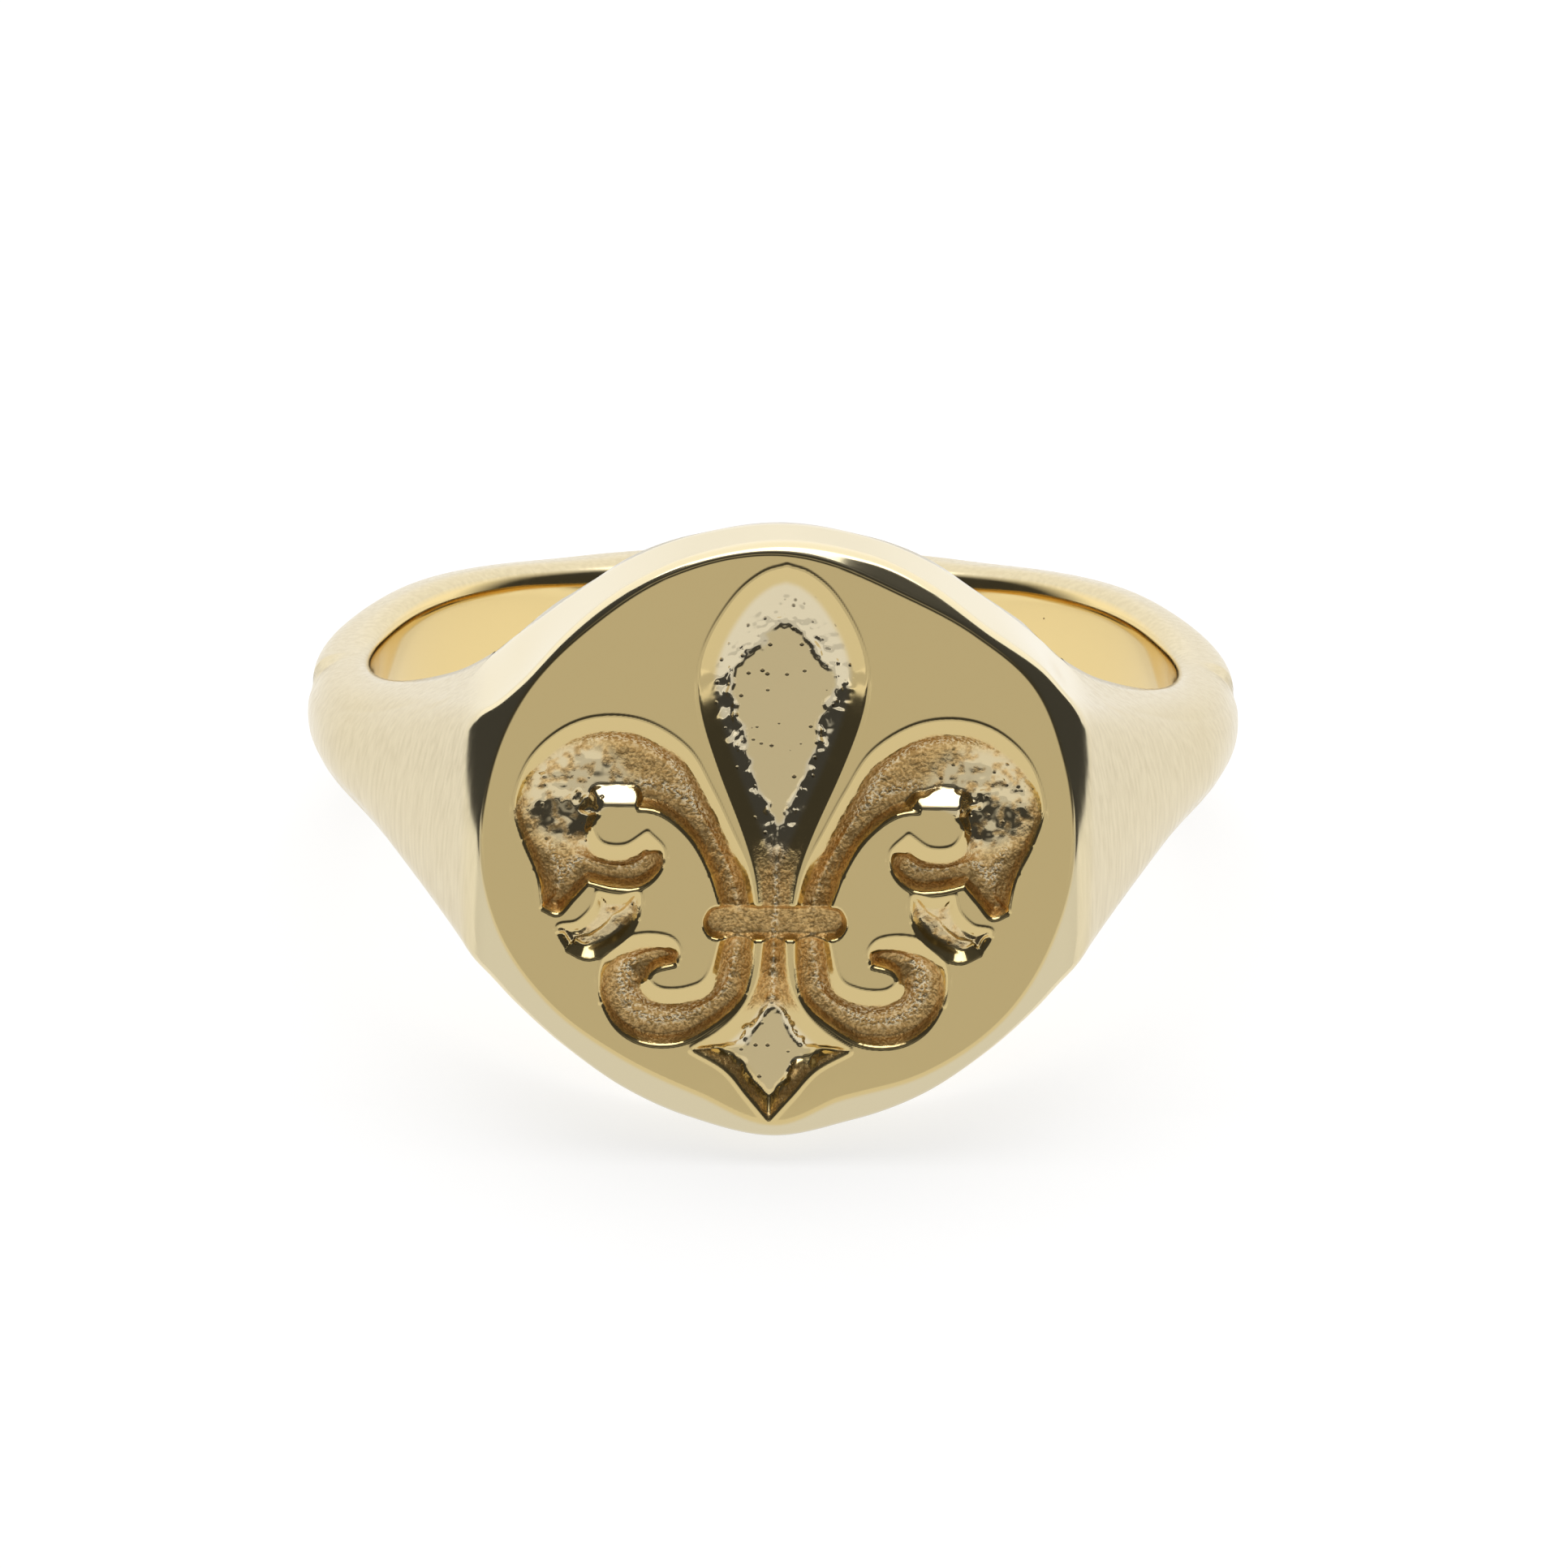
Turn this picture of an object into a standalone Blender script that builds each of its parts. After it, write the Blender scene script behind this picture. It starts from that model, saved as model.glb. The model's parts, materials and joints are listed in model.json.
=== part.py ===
"""A plain gold signet ring, lying on a table on the edge of its head and the back of its shank.

The ring is first drawn upright in its own frame, in millimetres: the finger axis is Z, the flat
table of the head looks along -Y and X runs across the head.  An empty then tips the whole ring
forward until the head's lower edge and the back of the shank touch the same level surface.

Pieces: signet_head, shank and the two thin seams of solder that join them.
"""

import math

import bmesh
import bpy
from mathutils import Matrix, Vector

MM = 0.001

# ---------------------------------------------------------------- driving dimensions, millimetres
BORE_RADIUS = 9.5            # finger hole, 19.0 mm across
SHANK_RADIUS = 11.05         # outside of the shank at the sides and the back
TABLE_DISTANCE = 11.8        # finger axis to the flat table
HEAD_HALF_WIDTH = 7.0        # where the shoulders' straight flanks meet the table, at mid height
FLANK_BULGE = 0.32           # how far the flanks fall away from mid height to their edges
BACK_HALF_WIDTH = 1.35       # half of the shank's width at the back
HEAD_RISE = 0.15             # the head's top stands this much further out than its bottom
TABLE_RISE = 0.2             # middle of the table above the middle of the shank

# Half of the ring's height, seen from the front, against the distance from the middle.
FRONT_PROFILE = ((0.0, 7.05), (2.0, 6.72), (3.5, 6.03), (4.9, 4.98), (6.0, 3.98), (6.7, 3.26),
                 (7.6, 2.55), (8.9, 1.80), (9.9, 1.36), (11.1, 1.18), (14.0, 1.15))

# The upper right corner of the head is filed a little higher than the upper left one.
CORNER_LIFT = 0.27
CORNER_PLACE = 6.1
CORNER_SPREAD = 1.0
CORNER_START = 7.0           # distance from the finger axis at which that lift begins

# Edge rounding at the head and at the back of the shank.
BORE_EDGE_HEAD = 0.12
BORE_EDGE_BACK = 0.5
OUTER_EDGE_HEAD = 0.25
OUTER_EDGE_BACK = 1.0
EDGE_BLEND_END = math.radians(110)   # angle from the head at which the back's rounding is reached

# Flat table: distance of its edge from the middle, for compass angles anticlockwise from +X.
TABLE_EDGE = ((0, 6.83), (17, 6.86), (33, 6.94), (48, 6.68), (66, 6.52), (90, 6.82), (112, 6.78),
              (130, 6.68), (150, 6.78), (170, 6.80), (180, 6.84), (200, 6.80), (218, 6.58),
              (236, 6.36), (254, 6.40), (270, 6.84), (284, 6.42), (302, 6.60), (322, 6.78),
              (342, 6.80))

JOINT_ANGLE = 42.0           # from the middle of the table to each soldered joint
SOLDER_THICKNESS = 0.15
JOINT_GAP = 0.01             # between touching faces

EMBLEM_LEAN = 0.018          # the emblem's axis leans a degree to the right

# Emblem outlines, millimetres right of and above the middle of the table.  Each list is one run
# of smooth curve; the runs of an outline meet at corners.
PETAL_SIDE = ((0.0, 6.48), (-0.52, 6.30), (-1.08, 5.82), (-1.60, 5.0), (-1.88, 4.2), (-1.90, 3.5),
              (-1.74, 2.7), (-1.36, 1.6), (-0.80, 0.2), (-0.48, -0.8), (-0.33, -1.75))
LOBE_OUTER = ((-0.42, -1.75), (-0.66, -0.7), (-1.08, 0.2), (-1.55, 1.15), (-2.12, 2.1), (-3.05, 2.72),
              (-4.05, 2.86), (-4.95, 2.58), (-5.70, 1.86), (-6.05, 0.85), (-5.88, 0.05),
              (-5.50, -0.85), (-5.36, -1.66))
LOBE_TIP = ((-5.36, -1.66), (-4.98, -1.79), (-4.62, -1.40), (-4.32, -1.04))
LOBE_FOOT = ((-4.32, -1.04), (-3.7, -1.18), (-3.12, -1.14), (-2.68, -0.75), (-2.62, -0.28),
             (-3.0, 0.13))
LOBE_INNER = ((-3.0, 0.13), (-3.5, -0.19), (-4.05, -0.13), (-4.26, 0.32), (-3.95, 0.70), (-3.4, 0.74),
              (-2.7, 0.64), (-2.05, 0.10), (-1.57, -0.73), (-1.22, -1.75))
LEAF = ((-4.10, -1.30), (-3.60, -1.38), (-3.16, -1.30), (-3.14, -1.85), (-3.45, -2.38), (-3.85, -2.68),
        (-4.30, -2.82), (-4.75, -2.62))
LEAF_BACK = ((-4.75, -2.62), (-4.98, -2.15), (-4.55, -2.03), (-4.22, -1.70), (-4.10, -1.30))
CURL_OUTER = ((-0.45, -2.3), (-0.50, -3.1), (-0.72, -3.85), (-1.35, -4.45), (-2.10, -4.86), (-2.95, -4.86),
              (-3.60, -4.46), (-3.97, -3.75), (-3.95, -3.0), (-3.60, -2.50), (-3.0, -2.31),
              (-2.42, -2.38), (-2.18, -2.68), (-2.25, -2.98))
CURL_INNER = ((-2.25, -2.98), (-2.72, -3.12), (-2.86, -3.4), (-2.55, -3.62), (-1.95, -3.58),
              (-1.50, -3.28), (-1.25, -2.3))
COLLAR_END = ((-1.20, -1.60), (-1.50, -1.68), (-1.64, -2.0), (-1.50, -2.30), (-1.20, -2.38))
DART_SIDE = ((-0.26, -2.3), (-0.38, -3.4), (-0.72, -4.12), (-1.20, -4.62), (-1.82, -5.02))
DART_POINT = ((-1.82, -5.02), (-1.05, -5.48), (-0.52, -6.1), (0.0, -6.72))

PETAL_DEPTH = 0.55
LOBE_DEPTH = 0.50
LEAF_DEPTH = 0.42
CURL_DEPTH = 0.46
COLLAR_DEPTH = 0.38
DART_DEPTH = 0.52
CUTTER_OVERRUN = 0.6         # how far a cutter stands clear of the face it cuts
BLANK_OVERRUN = 0.9          # metal in front of the table before it is filed flat
TABLE_FORM_DEPTH = 30.0      # length of the chamfered form, which passes the back of the shank

# How finely the shapes are stepped.
HEAD_STEPS = 42
SHANK_STEPS = 72
TABLE_POINTS = 96
CURVE_STEPS = 4              # points in each span of an emblem outline
BORE_STEPS = 3
BORE_EDGE_STEPS = 3
FACE_STEPS = 4
OUTER_EDGE_STEPS = 5
SIDE_STEPS = 5
MERGE_DISTANCE = 0.000001    # metres
SHARP_ANGLE = math.radians(35)
MAX_TILT = math.radians(30)
TILT_HALVINGS = 40

# ---------------------------------------------------------------- derived shape
HALF_TURN = math.pi
CORNER_ANGLE = math.atan2(HEAD_HALF_WIDTH, TABLE_DISTANCE)
TANGENT_ANGLE = CORNER_ANGLE + math.acos(SHANK_RADIUS / math.hypot(HEAD_HALF_WIDTH, TABLE_DISTANCE))


def ease(value):
    """Smooth step from 0 to 1."""
    value = min(max(value, 0.0), 1.0)
    return value * value * (3.0 - 2.0 * value)


def smooth_value(table, place):
    """Read a table of (place, value) pairs along a smooth curve through them."""
    count = len(table)
    place = min(max(place, table[0][0]), table[-1][0])
    index = 0
    while index < count - 2 and place > table[index + 1][0]:
        index += 1
    (x0, y0), (x1, y1) = table[index], table[index + 1]
    before = table[index - 1] if index > 0 else (x0 - (x1 - x0), y1)
    after = table[index + 2] if index < count - 2 else (x1 + (x1 - x0), y1)
    span = x1 - x0
    slope0 = (y1 - before[1]) / (x1 - before[0])
    slope1 = (after[1] - y0) / (after[0] - x0)
    t = (place - x0) / span
    return ((1 + 2 * t) * (1 - t) ** 2 * y0 + t * (1 - t) ** 2 * span * slope0
            + t * t * (3 - 2 * t) * y1 + t * t * (t - 1) * span * slope1)


def edge_height(x, y, upper):
    """Height of the ring's upper or lower face above or below the finger axis plane."""
    height = smooth_value(FRONT_PROFILE, abs(x))
    if upper:
        height += HEAD_RISE * (height / FRONT_PROFILE[0][1]) ** 2
    if y > 0.0:
        toward_back = ease(y / BORE_RADIUS)
        height = height * (1.0 - toward_back) + BACK_HALF_WIDTH * toward_back
    elif upper:
        toward_table = ease((-y - CORNER_START) / (TABLE_DISTANCE - CORNER_START))
        bump = math.exp(-((abs(x) - CORNER_PLACE) / CORNER_SPREAD) ** 2)
        height += math.copysign(CORNER_LIFT, x) * bump * toward_table
    return height


def flank_radius(angle):
    """Distance from the finger axis to the outside of the ring at mid height."""
    angle = abs(angle)
    if angle >= TANGENT_ANGLE:
        return SHANK_RADIUS
    flank = SHANK_RADIUS / math.cos(TANGENT_ANGLE - angle)
    front = (TABLE_DISTANCE + BLANK_OVERRUN) / math.cos(angle)
    return min(flank, front)


def half_section(angle, upper):
    """Points (radius, height) of one half of the ring's section, from the bore to the outside."""
    turn = abs(angle)
    toward_back = ease((turn - CORNER_ANGLE) / (EDGE_BLEND_END - CORNER_ANGLE))
    bore_edge = BORE_EDGE_HEAD + (BORE_EDGE_BACK - BORE_EDGE_HEAD) * toward_back
    outer_edge = OUTER_EDGE_HEAD + (OUTER_EDGE_BACK - OUTER_EDGE_HEAD) * toward_back
    bulge = FLANK_BULGE * (1.0 - toward_back)
    outer = flank_radius(angle) - bulge

    def height_at(radius):
        return edge_height(radius * math.sin(angle), -radius * math.cos(angle), upper)

    points = []
    for step in range(BORE_STEPS):
        points.append((BORE_RADIUS, (height_at(BORE_RADIUS) - bore_edge) * step / BORE_STEPS))
    for step in range(BORE_EDGE_STEPS + 1):
        swing = HALF_TURN / 2 * step / BORE_EDGE_STEPS
        radius = BORE_RADIUS + bore_edge * (1 - math.cos(swing))
        points.append((radius, height_at(radius) - bore_edge * (1 - math.sin(swing))))
    first, last = BORE_RADIUS + bore_edge, outer - outer_edge
    for step in range(1, FACE_STEPS):
        radius = first + (last - first) * step / FACE_STEPS
        points.append((radius, height_at(radius)))
    drop = outer_edge * min(1.0, height_at(outer) / OUTER_EDGE_BACK)
    for step in range(OUTER_EDGE_STEPS + 1):
        swing = HALF_TURN / 2 * step / OUTER_EDGE_STEPS
        radius = outer - outer_edge * (1 - math.sin(swing))
        points.append((radius, height_at(radius) - drop * (1 - math.cos(swing))))
    side_top = points[-1][1]
    for step in range(1, SIDE_STEPS):
        share = 1 - step / SIDE_STEPS
        points.append((outer + bulge * (1 - share * share), side_top * share))
    return points


def section(angle):
    """The ring's whole section at an angle round the finger axis, as points in space."""
    angle = math.remainder(angle, 2 * HALF_TURN)
    upper = half_section(angle, True)
    lower = half_section(angle, False)
    middle = (flank_radius(angle), 0.0)
    outline = upper + [middle] + [(radius, -height) for radius, height in reversed(lower[1:])]
    return [Vector((radius * math.sin(angle), -radius * math.cos(angle), height)) * MM
            for radius, height in outline]


# ---------------------------------------------------------------- modelling helpers
def new_object(name, mesh, collection):
    thing = bpy.data.objects.new(name, mesh)
    collection.objects.link(thing)
    return thing


def mesh_from_bmesh(name, shape):
    bmesh.ops.recalc_face_normals(shape, faces=shape.faces)
    mesh = bpy.data.meshes.new(name)
    shape.to_mesh(mesh)
    shape.free()
    return mesh


def loft(name, loops):
    """A closed solid through a run of loops with equal numbers of points."""
    shape = bmesh.new()
    rings = [[shape.verts.new(point) for point in loop] for loop in loops]
    size = len(rings[0])
    for ring, following in zip(rings, rings[1:]):
        for index in range(size):
            after = (index + 1) % size
            shape.faces.new((ring[index], ring[after], following[after], following[index]))
    shape.faces.new(list(reversed(rings[0])))
    shape.faces.new(rings[-1])
    return mesh_from_bmesh(name, shape)


def band(name, first, last, count, collection):
    """A stretch of the ring between two angles, in degrees."""
    angles = [math.radians(first + (last - first) * step / count) for step in range(count + 1)]
    return new_object(name, loft(name, [section(angle) for angle in angles]), collection)


def curve_through(points):
    """Points along a smooth curve through the given ones, leaving out the last."""
    steps = CURVE_STEPS if len(points) > 2 else 1
    result = []
    for index in range(len(points) - 1):
        p1, p2 = Vector(points[index]), Vector(points[index + 1])
        p0 = Vector(points[index - 1]) if index > 0 else p1 * 2 - p2
        p3 = Vector(points[index + 2]) if index + 2 < len(points) else p2 * 2 - p1
        for step in range(steps):
            t = step / steps
            result.append(0.5 * (2 * p1 + (p2 - p0) * t + (2 * p0 - 5 * p1 + 4 * p2 - p3) * t * t
                                 + (3 * p1 - p0 - 3 * p2 + p3) * t ** 3))
    return result


def mirrored(points):
    """The same run on the other side of the emblem's axis, in the opposite direction."""
    return [(-x, z) for x, z in reversed(points)]


def outline(*runs):
    """One closed outline from runs of curve that meet at corners."""
    points = []
    for run in runs:
        points += curve_through(run)
    return points


def emblem_outlines():
    """Name, outline and depth of each part of the engraved emblem."""
    petal = outline(PETAL_SIDE, (PETAL_SIDE[-1], mirrored(PETAL_SIDE)[0]), mirrored(PETAL_SIDE))
    collar = outline(COLLAR_END, (COLLAR_END[-1], mirrored(COLLAR_END)[0]), mirrored(COLLAR_END),
                     (mirrored(COLLAR_END)[-1], COLLAR_END[0]))
    dart = outline(DART_SIDE, DART_POINT, mirrored(DART_POINT), mirrored(DART_SIDE),
                   (mirrored(DART_SIDE)[-1], DART_SIDE[0]))
    lobe = outline(LOBE_OUTER, LOBE_TIP, LOBE_FOOT, LOBE_INNER, (LOBE_INNER[-1], LOBE_OUTER[0]))
    leaf = outline(LEAF, LEAF_BACK)
    curl = outline(CURL_OUTER, CURL_INNER, (CURL_INNER[-1], CURL_OUTER[0]))
    shapes = [("petal", petal, PETAL_DEPTH), ("collar", collar, COLLAR_DEPTH), ("dart", dart, DART_DEPTH)]
    for name, half, depth in (("lobe", lobe, LOBE_DEPTH), ("leaf", leaf, LEAF_DEPTH),
                              ("curl", curl, CURL_DEPTH)):
        other_half = [Vector((-point.x, point.y)) for point in reversed(half)]
        shapes.append((name + "_left", half, depth))
        shapes.append((name + "_right", other_half, depth))
    return shapes


def engraving_cutter(name, points, depth, collection):
    """A flat outline, extruded, that reaches the given depth below the table."""
    data = bpy.data.curves.new(name, "CURVE")
    data.dimensions = "2D"
    data.fill_mode = "BOTH"
    data.extrude = (depth + CUTTER_OVERRUN) / 2 * MM
    spline = data.splines.new("POLY")
    spline.points.add(len(points) - 1)
    for target, point in zip(spline.points, points):
        target.co = ((point.x + EMBLEM_LEAN * point.y) * MM, point.y * MM, 0.0, 1.0)
    spline.use_cyclic_u = True
    drawn = new_object(name + "_curve", data, collection)
    middle = -TABLE_DISTANCE + (depth - CUTTER_OVERRUN) / 2
    place = Matrix.Translation((0, middle * MM, TABLE_RISE * MM))
    drawn.matrix_world = place @ Matrix.Rotation(HALF_TURN / 2, 4, "X")
    bpy.context.view_layer.update()
    depsgraph = bpy.context.evaluated_depsgraph_get()
    mesh = bpy.data.meshes.new_from_object(drawn.evaluated_get(depsgraph))
    shape = bmesh.new()
    shape.from_mesh(mesh)
    bmesh.ops.remove_doubles(shape, verts=shape.verts, dist=MERGE_DISTANCE)
    bmesh.ops.recalc_face_normals(shape, faces=shape.faces)
    shape.to_mesh(mesh)
    shape.free()
    cutter = new_object(name, mesh, collection)
    cutter.matrix_world = drawn.matrix_world.copy()
    bpy.data.objects.remove(drawn)
    return cutter


def table_form(collection):
    """What is left of the head when the table is filed flat and its edge chamfered at 45 degrees."""
    closed = TABLE_EDGE + ((360, TABLE_EDGE[0][1]),)
    loops = []
    for back in (0.0, TABLE_FORM_DEPTH):
        loop = []
        for step in range(TABLE_POINTS):
            angle = 360 * step / TABLE_POINTS
            reach = smooth_value(closed, angle) + back
            turn = math.radians(angle)
            height = TABLE_RISE + reach * math.sin(turn)
            loop.append(Vector((reach * math.cos(turn), back - TABLE_DISTANCE, height)) * MM)
        loops.append(loop)
    return new_object("table_form", loft("table_form", loops), collection)


def boolean(target, tool, operation):
    step = target.modifiers.new(tool.name, "BOOLEAN")
    step.operation = operation
    step.solver = "EXACT"
    step.object = tool
    tool.hide_render = True
    tool.display_type = "WIRE"


def metal(name, colour, roughness):
    material = bpy.data.materials.new(name)
    material.use_nodes = True
    shader = material.node_tree.nodes["Principled BSDF"]
    shader.inputs["Base Color"].default_value = (*colour, 1.0)
    shader.inputs["Metallic"].default_value = 1.0
    shader.inputs["Roughness"].default_value = roughness
    return material


# ---------------------------------------------------------------- the ring's pieces
def signet_head(parts, cutters):
    """The thick front with its flat table and the engraved emblem."""
    head = band("signet_head", -JOINT_ANGLE, JOINT_ANGLE, HEAD_STEPS, parts)
    boolean(head, table_form(cutters), "INTERSECT")
    for name, points, depth in emblem_outlines():
        boolean(head, engraving_cutter(name, points, depth, cutters), "DIFFERENCE")
    head.data.materials.append(metal("polished_gold", (0.72, 0.60, 0.33), 0.15))
    return head


def joint_angles():
    """Angles, in degrees, at which the solder and the shank start behind the head."""
    radius = (BORE_RADIUS + SHANK_RADIUS) / 2
    gap = math.degrees(JOINT_GAP / radius)
    seam = math.degrees(SOLDER_THICKNESS / radius)
    solder_start = JOINT_ANGLE + gap
    solder_end = solder_start + seam
    return solder_start, solder_end, solder_end + gap


def shank(parts):
    """The band that goes round the finger."""
    start = joint_angles()[2]
    piece = band("shank", start, 360 - start, SHANK_STEPS, parts)
    piece.data.materials.append(metal("satin_gold", (0.76, 0.66, 0.42), 0.25))
    return piece


def solder_joint(name, side, parts):
    """One thin seam of solder between the head and the shank."""
    start, end, _ = joint_angles()
    first, last = sorted((side * start, side * end))
    piece = band(name, first, last, 1, parts)
    piece.data.materials.append(metal(name + "_gold", (0.74, 0.64, 0.42), 0.25))
    return piece


def ring_points(pieces):
    """All corners of the finished pieces in the ring's own frame."""
    depsgraph = bpy.context.evaluated_depsgraph_get()
    points = []
    for piece in pieces:
        points += [vertex.co.copy() for vertex in piece.evaluated_get(depsgraph).data.vertices]
    return points


def resting_tilt(points):
    """Angle about X at which the head's lower edge and the back of the shank are level."""
    low, high = 0.0, MAX_TILT
    for _ in range(TILT_HALVINGS):
        tilt = (low + high) / 2
        turn = Matrix.Rotation(-tilt, 3, "X")
        front = min((turn @ point).z for point in points if point.y < 0)
        back = min((turn @ point).z for point in points if point.y > 0)
        if front < back:
            low = tilt
        else:
            high = tilt
    return (low + high) / 2


def lay_on_table(pieces, tools, collection):
    """Parent the pieces and their cutters to an empty that lays the ring down over the origin."""
    bpy.context.view_layer.update()
    points = ring_points(pieces)
    turn = Matrix.Rotation(-resting_tilt(points), 3, "X")
    turned = [turn @ point for point in points]
    lowest = min(point.z for point in turned)
    middle = (min(point.y for point in turned) + max(point.y for point in turned)) / 2
    rest = bpy.data.objects.new("ring_at_rest", None)
    collection.objects.link(rest)
    rest.rotation_euler = turn.to_euler()
    rest.location = (0.0, -middle, -lowest)
    for thing in pieces + tools:
        thing.parent = rest


def main():
    for thing in list(bpy.data.objects):
        bpy.data.objects.remove(thing)
    parts = bpy.data.collections.new("signet_ring")
    cutters = bpy.data.collections.new("cutters")
    for collection in (parts, cutters):
        bpy.context.scene.collection.children.link(collection)
    pieces = [
        signet_head(parts, cutters),
        shank(parts),
        solder_joint("solder_joint_left", -1, parts),
        solder_joint("solder_joint_right", 1, parts),
    ]
    for piece in pieces:
        piece.data.shade_smooth()
        piece.data.set_sharp_from_angle(angle=SHARP_ANGLE)
    lay_on_table(pieces, list(cutters.objects), parts)


main()
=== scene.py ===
"""The looks of the gold signet ring: fine meshes, gold materials, studio light and camera.

The shape is worked out in the ring's own frame in millimetres, as the CAD does: the finger axis is
Z, the flat table of the head looks along -Y and X runs across the head.  A point of the seal face
and its normal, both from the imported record, say how that frame lies in the scene.
"""

import json
import math

import bpy
import numpy as np
from mathutils import Matrix, Vector


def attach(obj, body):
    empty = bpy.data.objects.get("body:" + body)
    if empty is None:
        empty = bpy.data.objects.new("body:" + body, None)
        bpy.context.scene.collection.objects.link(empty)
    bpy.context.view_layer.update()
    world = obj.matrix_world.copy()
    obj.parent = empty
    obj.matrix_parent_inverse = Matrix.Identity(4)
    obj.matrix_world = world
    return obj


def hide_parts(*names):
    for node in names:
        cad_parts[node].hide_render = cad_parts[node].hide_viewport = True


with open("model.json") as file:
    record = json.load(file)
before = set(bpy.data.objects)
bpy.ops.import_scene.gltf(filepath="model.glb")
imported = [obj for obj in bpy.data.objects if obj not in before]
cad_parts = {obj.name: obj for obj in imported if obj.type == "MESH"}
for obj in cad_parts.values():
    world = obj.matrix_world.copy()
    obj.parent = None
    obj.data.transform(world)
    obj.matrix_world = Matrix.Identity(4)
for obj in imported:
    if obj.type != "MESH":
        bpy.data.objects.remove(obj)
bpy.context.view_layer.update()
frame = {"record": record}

MM = 0.001
HALF_TURN = math.pi

# ---------------------------------------------------------------- the ring, as in the CAD
BORE_RADIUS = 9.5
SHANK_RADIUS = 11.05
TABLE_DISTANCE = 11.8
HEAD_HALF_WIDTH = 7.0
FLANK_BULGE = 0.32
BACK_HALF_WIDTH = 1.35
HEAD_RISE = 0.15
TABLE_RISE = 0.2
FRONT_PROFILE = ((0.0, 7.05), (2.0, 6.72), (3.5, 6.03), (4.9, 4.98), (6.0, 3.98), (6.7, 3.26),
                 (7.6, 2.55), (8.9, 1.80), (9.9, 1.36), (11.1, 1.18), (14.0, 1.15))
CORNER_LIFT = 0.27
CORNER_PLACE = 6.1
CORNER_SPREAD = 1.0
CORNER_START = 7.0
TABLE_EDGE = ((0, 6.83), (17, 6.86), (33, 6.94), (48, 6.68), (66, 6.52), (90, 6.82), (112, 6.78),
              (130, 6.68), (150, 6.78), (170, 6.80), (180, 6.84), (200, 6.80), (218, 6.58),
              (236, 6.36), (254, 6.40), (270, 6.84), (284, 6.42), (302, 6.60), (322, 6.78),
              (342, 6.80))
JOINT_ANGLE = math.radians(42.0)
SOLDER_THICKNESS = 0.15
EMBLEM_LEAN = 0.018
CORNER_ANGLE = math.atan2(HEAD_HALF_WIDTH, TABLE_DISTANCE)
TANGENT_ANGLE = CORNER_ANGLE + math.acos(SHANK_RADIUS / math.hypot(HEAD_HALF_WIDTH, TABLE_DISTANCE))
EDGE_BLEND_END = math.radians(110)

# Rounding where two faces of the ring meet, and how soon the outer side turns over at the back.
TABLE_ROUNDING = 0.07
CHAMFER_ROUNDING = 0.16
BORE_ROUNDING_HEAD = 0.2
BORE_ROUNDING_BACK = 0.75
OUTER_ROUNDING_HEAD = 0.34
OUTER_ROUNDING_BACK = 1.17
SIDE_SHORTENING = 0.75
ROUNDING_BLEND = 0.5

# ---------------------------------------------------------------- the engraved emblem, as in the CAD
# Millimetres right of and above the middle of the table, for the left half.
PETAL_SIDE = ((0.0, 6.48), (-0.52, 6.30), (-1.08, 5.82), (-1.60, 5.0), (-1.88, 4.2), (-1.90, 3.5),
              (-1.74, 2.7), (-1.36, 1.6), (-0.80, 0.2), (-0.48, -0.8), (-0.33, -1.75))
LOBE_OUTER = ((-0.42, -1.75), (-0.66, -0.7), (-1.08, 0.2), (-1.55, 1.15), (-2.12, 2.1), (-3.05, 2.72),
              (-4.05, 2.86), (-4.95, 2.58), (-5.70, 1.86), (-6.05, 0.85), (-5.88, 0.05),
              (-5.50, -0.85), (-5.36, -1.66))
LOBE_TIP = ((-5.36, -1.66), (-4.98, -1.79), (-4.62, -1.40), (-4.32, -1.04))
LOBE_FOOT = ((-4.32, -1.04), (-3.7, -1.18), (-3.12, -1.14), (-2.68, -0.75), (-2.62, -0.28),
             (-3.0, 0.13))
LOBE_INNER = ((-3.0, 0.13), (-3.5, -0.19), (-4.05, -0.13), (-4.26, 0.32), (-3.95, 0.70), (-3.4, 0.74),
              (-2.7, 0.64), (-2.05, 0.10), (-1.57, -0.73), (-1.22, -1.75))
LEAF = ((-4.10, -1.30), (-3.60, -1.38), (-3.16, -1.30), (-3.14, -1.85), (-3.45, -2.38), (-3.85, -2.68),
        (-4.30, -2.82), (-4.75, -2.62))
LEAF_BACK = ((-4.75, -2.62), (-4.98, -2.15), (-4.55, -2.03), (-4.22, -1.70), (-4.10, -1.30))
CURL_OUTER = ((-0.45, -2.3), (-0.50, -3.1), (-0.72, -3.85), (-1.35, -4.45), (-2.10, -4.86), (-2.95, -4.86),
              (-3.60, -4.46), (-3.97, -3.75), (-3.95, -3.0), (-3.60, -2.50), (-3.0, -2.31),
              (-2.42, -2.38), (-2.18, -2.68), (-2.25, -2.98))
CURL_INNER = ((-2.25, -2.98), (-2.72, -3.12), (-2.86, -3.4), (-2.55, -3.62), (-1.95, -3.58),
              (-1.50, -3.28), (-1.25, -2.3))
COLLAR_END = ((-1.20, -1.60), (-1.50, -1.68), (-1.64, -2.0), (-1.50, -2.30), (-1.20, -2.38))
DART_SIDE = ((-0.26, -2.3), (-0.38, -3.4), (-0.72, -4.12), (-1.20, -4.62), (-1.82, -5.02))
DART_POINT = ((-1.82, -5.02), (-1.05, -5.48), (-0.52, -6.1), (0.0, -6.72))


# ---------------------------------------------------------------- small numeric helpers
def ease(value):
    """Smooth step from 0 to 1."""
    value = np.clip(value, 0.0, 1.0)
    return value * value * (3.0 - 2.0 * value)


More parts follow.
